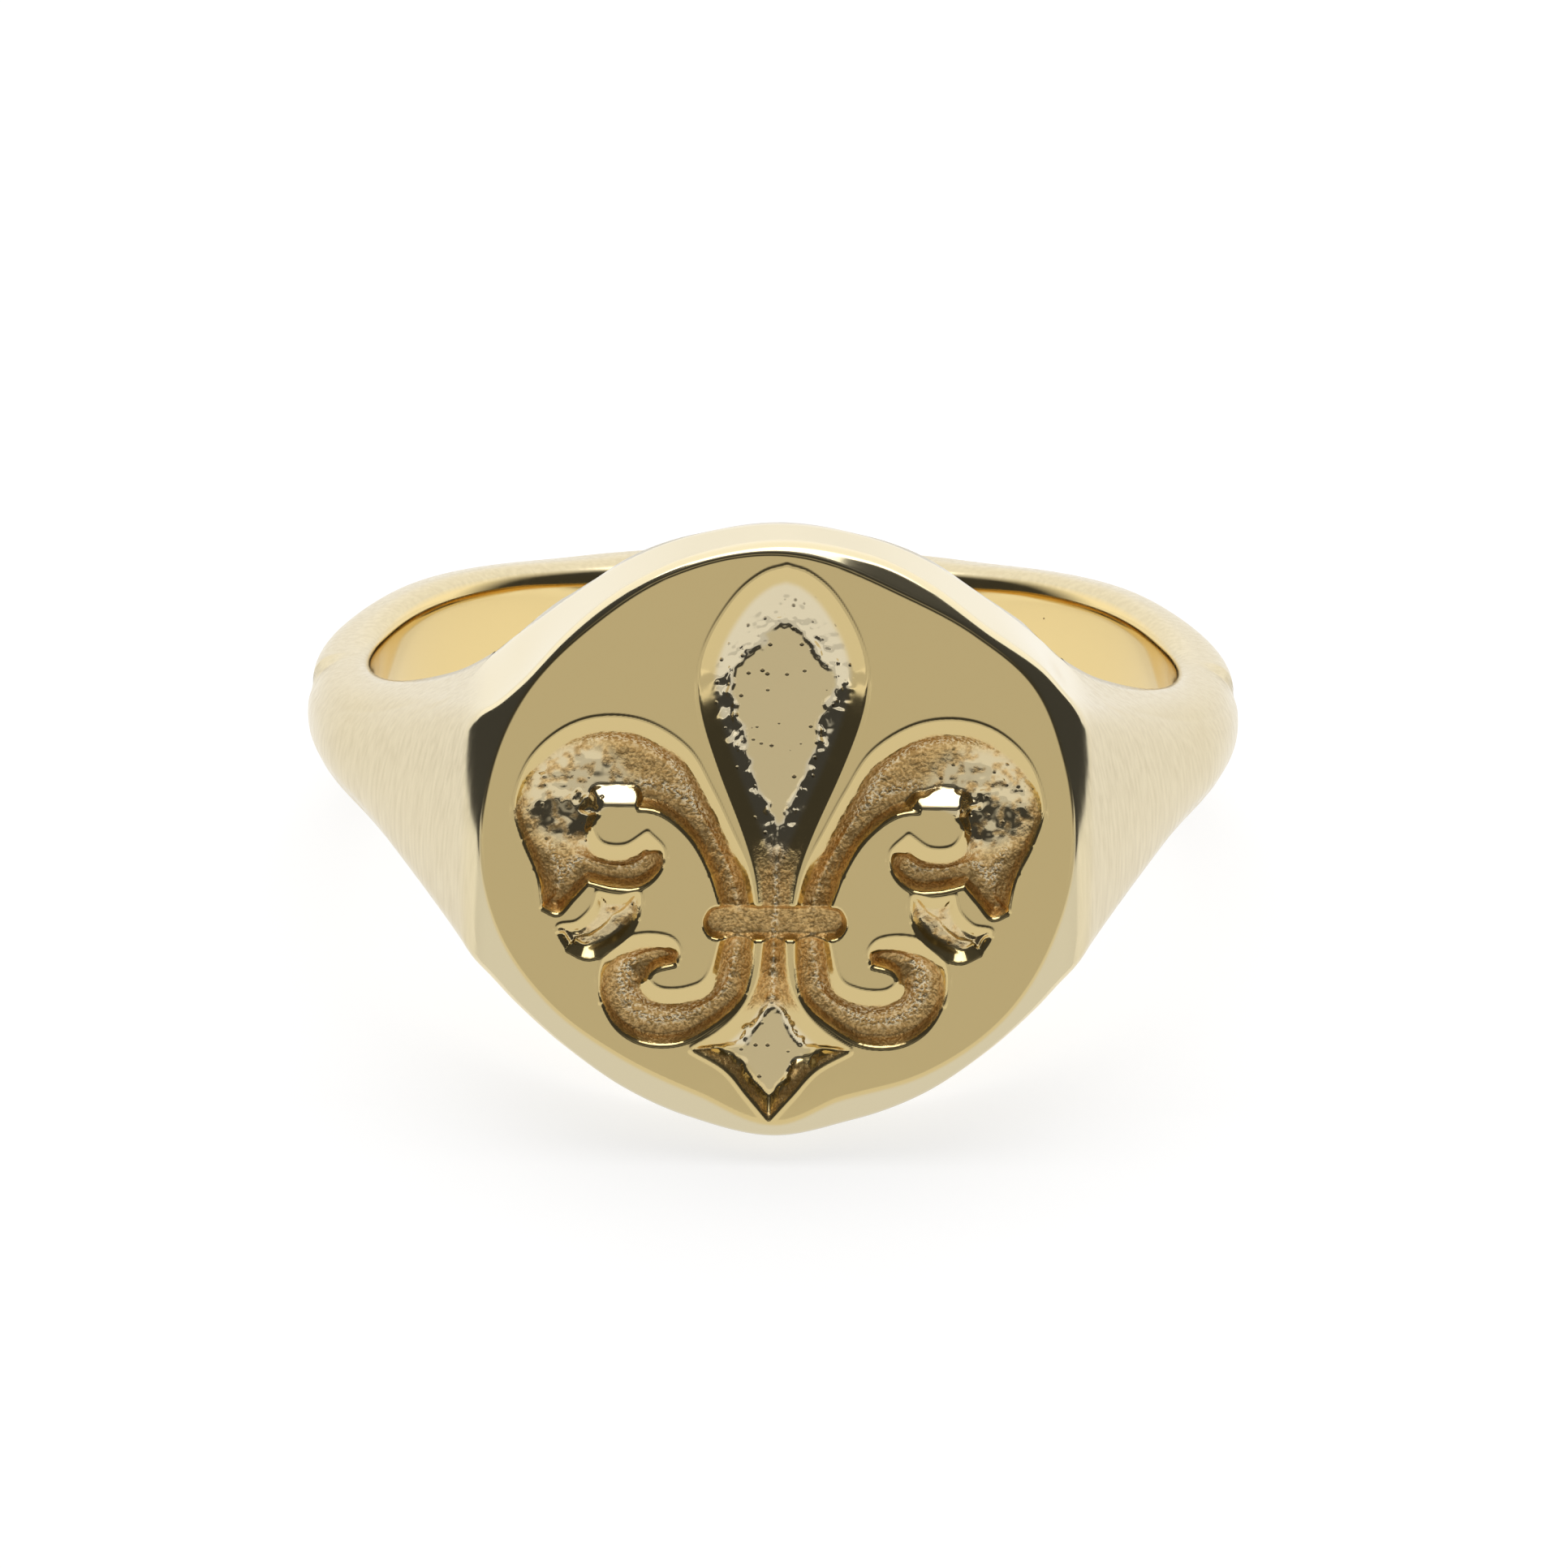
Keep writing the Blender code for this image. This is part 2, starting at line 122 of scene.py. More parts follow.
def smooth_values(table, place):
    """Read a table of (place, value) pairs along a smooth curve through them."""
    xs = np.array([pair[0] for pair in table], float)
    ys = np.array([pair[1] for pair in table], float)
    place = np.clip(place, xs[0], xs[-1])
    before = np.concatenate(([2 * xs[0] - xs[1]], xs[:-1])), np.concatenate(([ys[1]], ys[:-1]))
    after = np.concatenate((xs[1:], [2 * xs[-1] - xs[-2]])), np.concatenate((ys[1:], [ys[-2]]))
    slopes = (after[1] - before[1]) / (after[0] - before[0])
    index = np.clip(np.searchsorted(xs, place, side="right") - 1, 0, len(xs) - 2)
    span = xs[index + 1] - xs[index]
    t = (place - xs[index]) / span
    return ((1 + 2 * t) * (1 - t) ** 2 * ys[index] + t * (1 - t) ** 2 * span * slopes[index]
            + t * t * (3 - 2 * t) * ys[index + 1] + t * t * (t - 1) * span * slopes[index + 1])


def smooth_max(a, b, width):
    """The larger of two fields, rounded where they cross."""
    near = np.clip(width - np.abs(a - b), 0.0, None) / width
    return np.maximum(a, b) + near * near * width / 4


def value_noise(x, y, size, seed):
    """Smooth noise from -1 to 1 over the plane, with features of the given size."""
    grid = np.random.default_rng(seed).uniform(-1, 1, (64, 64))
    u, v = x / size + 1000.0, y / size + 1000.0
    i, j = np.floor(u).astype(int), np.floor(v).astype(int)
    s, t = ease(u - i), ease(v - j)
    a, b = grid[i % 64, j % 64], grid[(i + 1) % 64, j % 64]
    c, d = grid[i % 64, (j + 1) % 64], grid[(i + 1) % 64, (j + 1) % 64]
    return (a * (1 - s) + b * s) * (1 - t) + (c * (1 - s) + d * s) * t


def layered_noise(x, y, layers):
    """Sum of noises, each given by its strength, feature size and seed."""
    return sum(strength * value_noise(x, y, size, seed) for strength, size, seed in layers)


# ---------------------------------------------------------------- the plain ring as a field
def edge_height(x, y, upper):
    """Height of the ring's upper or lower face above or below the finger axis plane."""
    height = smooth_values(FRONT_PROFILE, np.abs(x))
    if upper:
        height = height + HEAD_RISE * (height / FRONT_PROFILE[0][1]) ** 2
        toward_table = ease((-y - CORNER_START) / (TABLE_DISTANCE - CORNER_START))
        bump = np.exp(-((np.abs(x) - CORNER_PLACE) / CORNER_SPREAD) ** 2)
        height = height + np.sign(x) * CORNER_LIFT * bump * toward_table
    behind = ease(y / BORE_RADIUS)
    return height * (1.0 - behind) + BACK_HALF_WIDTH * behind


def table_reach(x, z):
    """How far a point lies outside the edge of the flat table, across the table's plane."""
    closed = TABLE_EDGE + ((360, TABLE_EDGE[0][1]),)
    rise = z - TABLE_RISE
    turn = np.degrees(np.arctan2(rise, x)) % 360
    return np.hypot(x, rise) - smooth_values(closed, turn)


def toward_back(angle):
    """0 across the head, easing to 1 along the shoulders and at the back."""
    return ease((np.abs(angle) - CORNER_ANGLE) / (EDGE_BLEND_END - CORNER_ANGLE))


def side_height(angle):
    """Height at which the outer side of a section starts to turn over into its upper face."""
    blend = toward_back(angle)
    outer = flank_radius(angle) - FLANK_BULGE * (1 - blend)
    height = edge_height(outer * np.sin(angle), -outer * np.cos(angle), False)
    return height * (1 - SIDE_SHORTENING * blend)


def flank_radius(angle):
    """Distance from the finger axis to the outside of the ring at mid height."""
    lean = np.clip(TANGENT_ANGLE - np.abs(angle), 0.0, None)
    return SHANK_RADIUS / np.cos(lean)


def ring_field(angle, radius, height, upper):
    """Below zero inside the plain ring: about the distance to its surface, in millimetres."""
    x, y = radius * np.sin(angle), -radius * np.cos(angle)
    blend = toward_back(angle)
    lean = np.clip(TANGENT_ANGLE - np.abs(angle), 0.0, None)
    share = np.minimum(height / side_height(angle), 1.2)
    bulge = FLANK_BULGE * (1 - blend) * np.cos(lean)
    side = radius * np.cos(lean) - SHANK_RADIUS + bulge * share * share
    flat = -TABLE_DISTANCE - y
    chamfer = (flat + table_reach(x, height if upper else -height)) / math.sqrt(2)
    front = np.where(np.abs(angle) < HALF_TURN / 2, smooth_max(flat, chamfer, TABLE_ROUNDING), side)
    step = 0.02
    rim = edge_height(x, y, upper)
    slope = (edge_height(x + step, y, upper) - rim) / step
    top = (height - rim) / np.sqrt(1 + slope * slope)
    outside = smooth_max(side, front, CHAMFER_ROUNDING)
    rounding = OUTER_ROUNDING_HEAD + (OUTER_ROUNDING_BACK - OUTER_ROUNDING_HEAD) * blend
    on_chamfer = ease((front - side) / ROUNDING_BLEND + 0.5)
    rounding = rounding + (CHAMFER_ROUNDING - rounding) * on_chamfer
    solid = smooth_max(outside, top, rounding)
    bore_rounding = BORE_ROUNDING_HEAD + (BORE_ROUNDING_BACK - BORE_ROUNDING_HEAD) * blend
    return smooth_max(solid, BORE_RADIUS - radius, bore_rounding)


# ---------------------------------------------------------------- from field to surface
# Rays from a spine inside each section find the surface: how far outside the bore the spine lies,
# how far below the upper face it ends, how long a ray may get and how often its reach is halved.
SPINE_HEAD = 0.95
SPINE_BACK = 0.65
SPINE_DROP_HEAD = 0.4
SPINE_DROP_MORE = 0.25
LONGEST_RAY = 6.0
HALVINGS = 26


def fan_angles(corner, count_outer, count_inner):
    """Ray directions from outward over up to inward, in radians, closest together at the corner."""
    first = corner * np.sin(np.linspace(0, HALF_TURN / 2, count_outer + 1))
    second = np.linspace(0, 1, count_inner + 1)[1:] ** 1.7 * (HALF_TURN - corner) + corner
    return np.concatenate((first, second))


def half_rows(angles, upper, side_count, fan_outer, fan_inner, bore_count):
    """Points (radius, height) round the upper or lower half of each section, from the middle of
    the outer side over the edge to the middle of the bore.  One row of points for each angle."""
    back = toward_back(angles)
    spine = (BORE_RADIUS + SPINE_HEAD) * (1 - back) + (BORE_RADIUS + SPINE_BACK) * back
    top = edge_height(spine * np.sin(angles), -spine * np.cos(angles), upper)
    drop = np.minimum(SPINE_DROP_HEAD + SPINE_DROP_MORE * back, 0.5 * top)
    spine_top = top - drop
    outer = np.minimum(flank_radius(angles), TABLE_DISTANCE / np.maximum(np.cos(angles), 0.2))
    corner = np.arctan2(drop, outer - spine)
    starts, directions = [], []
    for share in np.linspace(0, 1, side_count, endpoint=False):
        starts.append(spine_top * share)
        directions.append(np.zeros_like(angles))
    turns = np.array([fan_angles(value, fan_outer, fan_inner) for value in corner])
    for index in range(turns.shape[1]):
        starts.append(spine_top)
        directions.append(turns[:, index])
    for share in np.linspace(1, 0, bore_count + 1)[1:]:
        starts.append(spine_top * share)
        directions.append(np.full_like(angles, HALF_TURN))
    start, turn = np.array(starts).T, np.array(directions).T
    middle, around = spine[:, None], angles[:, None]
    low, high = np.zeros_like(start), np.full_like(start, LONGEST_RAY)
    for _ in range(HALVINGS):
        reach = (low + high) / 2
        radius, height = middle + reach * np.cos(turn), start + reach * np.sin(turn)
        outside = ring_field(around, np.maximum(radius, 0.1), height, upper) > 0
        high = np.where(outside, reach, high)
        low = np.where(outside, low, reach)
    reach = (low + high) / 2
    return middle + reach * np.cos(turn), start + reach * np.sin(turn)


def sections(angles, detail):
    """Closed loops of points round the ring's section at each angle: columns x rows x 3.
    One more column on each side lets the normals run on across the end."""
    beyond = math.radians(0.1)
    angles = np.concatenate(([angles[0] - beyond], angles, [angles[-1] + beyond]))
    angles = (angles + HALF_TURN) % (2 * HALF_TURN) - HALF_TURN
    radius_up, height_up = half_rows(angles, True, *detail)
    radius_low, height_low = half_rows(angles, False, *detail)
    radius = np.concatenate((radius_up, radius_low[:, -2:0:-1]), axis=1)
    height = np.concatenate((height_up, -height_low[:, -2:0:-1]), axis=1)
    turn = angles[:, None]
    return np.stack((radius * np.sin(turn), -radius * np.cos(turn), height), axis=2)


# ---------------------------------------------------------------- the engraving as a depth map
# The map's cell size and reach in millimetres.
CELL = 0.02
MAP_WIDTH = 6.6
MAP_LOW = -7.3
MAP_HIGH = 7.0


def curve_through(points):
    """Points along a smooth curve through the given ones, leaving out the last."""
    steps = 8 if len(points) > 2 else 1
    result = []
    points = [np.array(point, float) for point in points]
    for index in range(len(points) - 1):
        p1, p2 = points[index], points[index + 1]
        p0 = points[index - 1] if index > 0 else p1 * 2 - p2
        p3 = points[index + 2] if index + 2 < len(points) else p2 * 2 - p1
        for step in range(steps):
            t = step / steps
            result.append(0.5 * (2 * p1 + (p2 - p0) * t + (2 * p0 - 5 * p1 + 4 * p2 - p3) * t * t
                                 + (3 * p1 - p0 - 3 * p2 + p3) * t ** 3))
    return result


def mirrored(points):
    """The same points on the right half, in reverse order so that an outline can run on."""
    return [(-x, z) for x, z in reversed(points)]


def outline(*runs):
    """One closed outline from smooth runs of points, each starting where the last one ended."""
    points = []
    for run in runs:
        points += curve_through(run)
    return np.array(points)


def inside_distance(points, x, z):
    """Distance inside a closed outline, below zero outside, and how far the nearest edge is an upper
    one (1) or a lower one (-1)."""
    best = np.full(x.shape, 1e9)
    toward = np.zeros(x.shape)
    inside = np.zeros(x.shape, bool)
    for start, end in zip(points, np.roll(points, -1, axis=0)):
        run = end - start
        t = np.clip(((x - start[0]) * run[0] + (z - start[1]) * run[1]) / (run @ run + 1e-12), 0, 1)
        dx, dz = start[0] + t * run[0] - x, start[1] + t * run[1] - z
        square = dx * dx + dz * dz
        closer = square < best
        best = np.where(closer, square, best)
        toward = np.where(closer, dz, toward)
        if start[1] != end[1]:
            crosses = (start[1] > z) != (end[1] > z)
            inside ^= crosses & (x < start[0] + (z - start[1]) / run[1] * run[0])
    sign = np.where(inside, 1.0, -1.0)
    distance = np.sqrt(best)
    return sign * distance, sign * toward / np.maximum(distance, 1e-6)


def blurred(field, cells):
    """Gaussian blur, by repeated passes of a short kernel."""
    for _ in range(cells):
        for axis in (0, 1):
            field = (np.roll(field, 1, axis) + 2 * field + np.roll(field, -1, axis)) / 4
    return field


# Width of a recess's walls in millimetres: where it faces down, sideways and up.
GROOVE_WALLS = (0.36, 0.13, 0.12)
LEAF_WALLS = (0.26, 0.17, 0.22)
PETAL_WALLS = (1.45, 0.80, 0.62)
DART_WALLS = (0.75, 0.38, 0.34)

# The grooves: depth of the bevelled rim, how far each floor lies below it, over what width a grainy
# floor rounds off, how much wider a smoother one does, how far outside its outline a lower edge
# starts to round over, how smooth the leaves are, how much sheen the smoother floors get (smoother
# gold, painted paler), and where the line with painted glints runs and how wide it is.
BEVEL_DEPTH = 0.16
LOBE_DROP = 0.24
CURL_DROP = 0.20
LEAF_DROP = 0.16
FLOOR_REACH = 0.40
SMOOTH_REACH = 0.35
EDGE_ROUNDING = 0.08
LEAF_SMOOTHNESS = 0.8
GROOVE_SHEEN = 0.6
SPARK_PLACE = 0.50
SPARK_WIDTH = 0.12

# The bowls of the petal and the dart: how deep, how hollow, and the crack round the flat middle.
PETAL_DEPTH = 0.38
DART_DEPTH = 0.34
BOWL_CURVE = 1.25
CRACK_DEPTH = 0.035
BLOB_DEPTH = 0.06

# The collar across the middle.
COLLAR_DEPTH = 0.30
RIB_HEIGHT = 0.014
RIB_SPACING = 0.045
RIDGE_HEIGHT = 0.09
RIDGE_WIDTH = 0.035

# The burr outside the edges.
LIP_HEIGHT = 0.016
LIP_WIDTH = 0.04

# The smoother head of each lobe, and how much its crumpled outer side leans outward and up, and about
# which place.
LOBE_HEAD = (4.6, 0.95)
LOBE_HEAD_SPREAD = 1.3
LOBE_HEAD_UNEVENNESS = 0.02
CRUMPLE_START = (4.1, 1.3)
CRUMPLE_LEAN = 0.16
CRUMPLE_MIDDLE = 4.8

# The steep bank above each volute: the height where it starts, how steep it is, the middle and half
# sizes of the ellipse it fills, how fast it falls away beyond that, the heights it lies between and
# the depth from which it is grainy.
BANK_FOOT = 0.80
BANK_SLOPE = 0.95
BANK_MIDDLE = (3.74, 0.92)
BANK_HALF = (0.46, 0.28)
BANK_FALL = 0.5
BANK_HEIGHTS = (0.35, 2.2)
BANK_GRAIN_DEPTH = 0.38

# Uneven places as layers of noise: strength, feature size in millimetres and seed.
RAGGED_EDGE = ((0.14, 0.50, 21), (0.09, 0.20, 22), (0.05, 0.10, 23))
CAST_PATCHES = ((1.0, 0.16, 31), (0.6, 0.07, 32))
BANK_WANDER = ((0.14, 0.28, 61), (0.05, 0.12, 62))
CAST_ROUGHNESS = ((0.012, 0.12, 3), (0.012, 0.3, 5))
SMOOTH_WAVES = ((0.010, 0.40, 7), (0.005, 0.15, 11))
CRUMPLE_WAVES = ((0.05, 0.45, 71),)


def emblem_outlines():
    """Closed outlines of the emblem's parts: the middle ones whole, the others for the left half."""
    petal_foot, dart_top = (-0.33, -2.1), (-0.26, -1.9)
    petal = outline(PETAL_SIDE, (PETAL_SIDE[-1], petal_foot, mirrored([petal_foot])[0]),
                    mirrored(PETAL_SIDE))
    collar = outline(COLLAR_END, (COLLAR_END[-1], mirrored(COLLAR_END)[0]), mirrored(COLLAR_END),
                     (mirrored(COLLAR_END)[-1], COLLAR_END[0]))
    dart = outline(DART_SIDE, DART_POINT, mirrored(DART_POINT), mirrored(DART_SIDE),
                   (mirrored(DART_SIDE)[-1], mirrored([dart_top])[0]), (mirrored([dart_top])[0], dart_top),
                   (dart_top, DART_SIDE[0]))
    lobe = outline(LOBE_OUTER, LOBE_TIP, LOBE_FOOT, LOBE_INNER, (LOBE_INNER[-1], (-1.22, -2.1)),
                   ((-1.22, -2.1), (-0.42, -2.1)), ((-0.42, -2.1), LOBE_OUTER[0]))
    leaf = outline(LEAF, LEAF_BACK)
    curl = outline(CURL_OUTER, CURL_INNER, (CURL_INNER[-1], (-1.25, -1.9)),
                   ((-1.25, -1.9), (-0.45, -1.9)), ((-0.45, -1.9), CURL_OUTER[0]))
    return petal, collar, dart, lobe, leaf, curl


def both_halves(field):
    """A map of the left half, continued with its mirror image."""
    return np.concatenate((field, field[-2::-1]), axis=0)


def wall_width(toward, widths):
    """Width of a recess's wall, by which way it faces."""
    down, side, up = widths
    return side + (down - side) * ease(toward) + (up - side) * ease(-toward)


class Engraving:
    """Maps over the table: the emblem's depth in millimetres, and from 0 to 1 how far a place is grainy
    cast floor, whose brown is partly painted groove shade, smoother floor, painted paler as a sheen, or
    the line along a groove where glints are painted."""

    def __init__(self):
        columns = int(round(MAP_WIDTH / CELL)) + 1
        rows = int(round((MAP_HIGH - MAP_LOW) / CELL)) + 1
        self.half_x = np.linspace(-MAP_WIDTH, 0, columns)[:, None] + np.zeros((1, rows))
        self.half_z = np.linspace(MAP_LOW, MAP_HIGH, rows)[None, :] + np.zeros((columns, 1))
        self.x = np.concatenate((self.half_x, -self.half_x[-2::-1]), axis=0)
        self.z = both_halves(self.half_z)
        self.depth, self.grain, self.sheen, self.spark = (np.zeros_like(self.x) for _ in range(4))
        self.outer_edge = np.full_like(self.x, -1.0)
        self.ragged = layered_noise(self.x, self.z, RAGGED_EDGE)
        self.patches = ease((layered_noise(self.x, self.z, CAST_PATCHES) - 0.15) / 0.3)

    def edge(self, points):
        """Distance inside an outline and where its nearest edge lies, over both halves."""
        return [both_halves(field) for field in inside_distance(points, self.half_x, self.half_z)]

    def lobe_head(self):
        """1 at the head of each lobe, fading to 0 round it."""
        across = (np.abs(self.x) - LOBE_HEAD[0]) / LOBE_HEAD_SPREAD
        upward = (self.z - LOBE_HEAD[1]) / LOBE_HEAD_SPREAD
        return ease((np.exp(-(across ** 2 + upward ** 2)) - 0.2) / 0.35)

    def crumpled(self):
        """How crumpled the smoother floors are, at the outer side of the lobes' heads and leaves."""
        outer = ease((np.abs(self.x) - CRUMPLE_START[0]) / 0.5)
        lower = ease((CRUMPLE_START[1] + 2.5 * self.ragged - self.z) / 0.6)
        return outer * lower * self.sheen

    def volute_bank(self):
        """Greatest depth the lobes may have, in millimetres: a steep slope above each volute, nothing
        right below that, and more than they are deep everywhere else."""
        across = np.abs(self.x) + layered_noise(self.x, self.z, BANK_WANDER) - BANK_MIDDLE[0]
        upward = self.z - BANK_MIDDLE[1]
        beyond = np.hypot(across / BANK_HALF[0], upward / BANK_HALF[1]) - 1
        bank = BANK_SLOPE * (self.z - BANK_FOOT) + BANK_FALL * np.clip(beyond, 0, None)
        near = (self.z > BANK_HEIGHTS[0]) & (self.z < BANK_HEIGHTS[1])
        return np.where(near, np.clip(bank, 0, None), 1.0)

    def cut_groove(self, points, walls, drop, smoother, hollow, unevenness, deepest):
        """Cuts a part with a rounded floor, nowhere below deepest.  The wall that faces up is curved
        and grainy where hollow is 1, and a straight smooth slope where it is 0."""
        distance, toward = self.edge(points)
        width = wall_width(toward, walls)
        faces_up = ease(-toward)
        floor = np.clip((distance - width) / (FLOOR_REACH + SMOOTH_REACH * smoother), 0, 1)
        start = EDGE_ROUNDING * faces_up
        share = np.clip((distance + start) / (width + start), 0, 1)
        wall = (BEVEL_DEPTH + drop * faces_up) * share ** (1 + hollow * faces_up)
        groove = wall + drop * (1 - faces_up) * (2 - floor) * floor
        waves = smoother * value_noise(self.x, self.z, 0.22, 63) * ease(distance / 0.3)
        groove = np.minimum(groove + unevenness * waves, deepest)
        self.depth = np.maximum(self.depth, groove)
        self.outer_edge = np.maximum(self.outer_edge, np.where(faces_up > 0.3, -1.0, distance))
        clean = np.maximum(ease(2 * toward + 0.5), (1 - hollow) * faces_up)
        foot = width * (0.25 + 0.75 * clean)
        cast = ease((distance - foot + 0.2 * self.ragged) / 0.05 + 0.5)
        self.grain = np.maximum(self.grain, cast * (1 - smoother * (1 - 0.85 * self.patches)))
        # Smoother floors get a sheen: smoother gold, painted paler.
        self.sheen = np.maximum(self.sheen, GROOVE_SHEEN * smoother * cast)
        # Along the middle of a grainy floor the gold is smoother and glints are painted.
        line = np.exp(-((distance - SPARK_PLACE) / SPARK_WIDTH) ** 2) * (1 - smoother)
        self.spark = np.maximum(self.spark, line * (distance > width))

    def cut_bowl(self, points, full, walls, rim):
        """Cuts a part whose walls run down in a curve to a flat middle with a ragged crack round it.
        Its up-facing wall is grainy near the edge where rim is above 0."""
        distance, toward = self.edge(points)
        width = wall_width(toward, walls)
        share = np.clip((distance + self.ragged * ease(distance / width - 0.2)) / width, 0, 1.3)
        bowl = full * (1 - (1 - np.minimum(share, 1)) ** BOWL_CURVE)
        uneven = 0.7 + 0.9 * value_noise(self.x, self.z, 0.35, 52)
        ring = ease((share - 0.7) / 0.25) * (1 - ease((share - 0.97) / 0.10))
        blobs = np.clip(value_noise(self.x, self.z, 0.12, 51) - 0.15, 0, None)
        crack = CRACK_DEPTH * uneven * ring + BLOB_DEPTH * blobs * np.exp(-((share - 0.85) / 0.16) ** 2)
        self.depth = np.maximum(self.depth, np.where(distance > 0, bowl + crack, 0.0))
        self.outer_edge = np.maximum(self.outer_edge, distance)
        # The bowl's inner walls and floor are smoother and painted paler as a sheen, less on the flat
        # middle.
        paler = ease((distance - 0.30) / 0.15) * (1 - 0.7 * ease((share - 0.98) / 0.1))
        self.sheen = np.maximum(self.sheen, paler)
        near_edge = ease(distance / 0.06) * (1 - ease((distance - 0.5 * width + self.ragged) / 0.05))
        self.grain = np.maximum(self.grain, rim * ease(-2 * toward) * near_edge)
        foot = ease((0.2 - self.z) / 1.2) * ease((self.z + 4.2) / 0.4)
        self.grain = np.maximum(self.grain, foot * ease(distance / 0.1))
        # Down the middle of the petal's foot the gold is smoother and glints are painted.
        middle_line = foot * np.exp(-(self.x / 0.06) ** 2)
        self.spark = np.maximum(self.spark, middle_line * (distance > 0))

    def raise_lip(self):
        """A fine burr just outside the recesses, except along the grooves' lower edges."""
        lip = np.exp(-((self.outer_edge + LIP_WIDTH) / LIP_WIDTH) ** 2)
        lip = lip * (self.outer_edge < 0.03) * (self.depth < 0.02)
        self.depth = self.depth - LIP_HEIGHT * lip

    def cut_collar(self, points):
        """The grainy collar over the grooves, with fine ribs and a ridge where it crosses them."""
        distance, _ = self.edge(points)
        within = ease((distance + 0.02) / 0.12)
        ridge = np.exp(-((distance - 0.01) / RIDGE_WIDTH) ** 2) * ease((self.depth - 0.1) / 0.1)
        ribs = RIB_HEIGHT * np.sin(self.x / RIB_SPACING) * value_noise(self.x, self.z, 0.3, 41)
        self.depth = self.depth * (1 - within) + within * (COLLAR_DEPTH + ribs) - RIDGE_HEIGHT * ridge
        self.grain = np.maximum(self.grain, within)


def emblem_maps():
    """The whole emblem's depth, grain, sheen, spark and crumpled places, slightly softened."""
    emblem = Engraving()
    petal, collar, dart, lobe, leaf, curl = emblem_outlines()
    bank = emblem.volute_bank()
    emblem.cut_groove(lobe, GROOVE_WALLS, LOBE_DROP, emblem.lobe_head(), 1, LOBE_HEAD_UNEVENNESS, bank)
    emblem.cut_groove(curl, GROOVE_WALLS, CURL_DROP, 0.0, 1, 0.0, np.inf)
    emblem.cut_groove(leaf, LEAF_WALLS, LEAF_DROP, LEAF_SMOOTHNESS, 0, 0.0, np.inf)
    emblem.grain = emblem.grain * ease((bank - BANK_GRAIN_DEPTH) / 0.05)
    emblem.cut_bowl(petal, PETAL_DEPTH, PETAL_WALLS, 0.0)
    emblem.cut_bowl(dart, DART_DEPTH, DART_WALLS, 0.9)
    emblem.raise_lip()
    emblem.cut_collar(collar)
    fields = (emblem.depth, emblem.grain, emblem.sheen, emblem.spark, emblem.crumpled())
    return [blurred(field, 2) for field in fields]


def read_map(field, x, z):
    """Values of a map at places on the table, in millimetres from its middle."""
    u = np.clip((x - EMBLEM_LEAN * z + MAP_WIDTH) / CELL, 0, field.shape[0] - 1.001)
    v = np.clip((z - MAP_LOW) / CELL, 0, field.shape[1] - 1.001)
    i, j = u.astype(int), v.astype(int)
    s, t = u - i, v - j
    return ((field[i, j] * (1 - s) + field[i + 1, j] * s) * (1 - t)
            + (field[i, j + 1] * (1 - s) + field[i + 1, j + 1] * s) * t)


# ---------------------------------------------------------------- the ring's place in the scene
# Where the record's seal face mount lies in the ring's own frame.
SEAL_MOUNT_PLACE = (3.7, -TABLE_DISTANCE, 4.3)


def ring_to_scene():
    """Matrix from the ring's own millimetres to the scene's metres, from the record's seal face."""
    seal = next(mount for mount in frame["record"]["mounts"] if mount["name"] == "seal_face")
    normal = seal["axis"]
    tilt = math.atan2(normal[2], -normal[1])
    turn = Matrix.Rotation(-tilt, 4, "X")
    known = Vector(SEAL_MOUNT_PLACE) * MM
    place = Vector(seal["pos_m"]) - turn @ known
    return Matrix.Translation(place) @ turn @ Matrix.Scale(MM, 4)


TO_SCENE = ring_to_scene()


# ---------------------------------------------------------------- meshes
def grid_normals(points):
    """Outward unit normals of a grid of points that closes on itself along its rows."""
    along = points[2:] - points[:-2]
    around = np.roll(points, -1, axis=1)[1:-1] - np.roll(points, 1, axis=1)[1:-1]
    normals = np.cross(along, around)
    return normals / np.maximum(np.linalg.norm(normals, axis=2, keepdims=True), 1e-12)


def band_mesh(name, extended, marks):
    """A closed solid from loops of points (columns x rows x 3), with its marks as attributes.
    The first and the last loop only serve the normals."""
    normals = grid_normals(extended)
    points = extended[1:-1]
    columns, rows = points.shape[:2]
    index = np.arange(columns * rows).reshape(columns, rows)
    following = np.roll(index, -1, axis=1)
    quads = np.stack((index[:-1], index[1:], following[1:], following[:-1]), axis=2).reshape(-1, 4)
    faces = [tuple(quad) for quad in quads.tolist()]
    faces.append(tuple(index[0, ::-1].tolist()))
    faces.append(tuple(index[-1].tolist()))
    matrix = np.array(TO_SCENE)
    scene_points = points.reshape(-1, 3) @ matrix[:3, :3].T + matrix[:3, 3]
    mesh = bpy.data.meshes.new(name)
    mesh.from_pydata(scene_points.tolist(), [], faces)
    for label, values in marks.items():
        attribute = mesh.attributes.new(label, "FLOAT", "POINT")
        attribute.data.foreach_set("value", values[1:-1].astype(np.float32).ravel())
    mesh.shade_smooth()
    turned = normals.reshape(-1, 3) @ (matrix[:3, :3] / MM).T
    mesh.normals_split_custom_set_from_vertices(turned.tolist())
    piece = bpy.data.objects.new(name, mesh)
    bpy.context.scene.collection.objects.link(piece)
    return piece


# How finely the meshes are divided: columns round the ring, and for each half section its points
# along the outer side, over the outer edge, over the inner edge and along the bore.
HEAD_COLUMNS = 380
SHOULDER_COLUMNS = 22
HEAD_DETAIL = (160, 26, 24, 8)
SHANK_COLUMNS = 200
SOLDER_COLUMNS = 2
BAND_DETAIL = (16, 10, 20, 6)


# How far behind the table's plane a place still takes part in the engraving's maps.
FRONT_REACH = 0.9


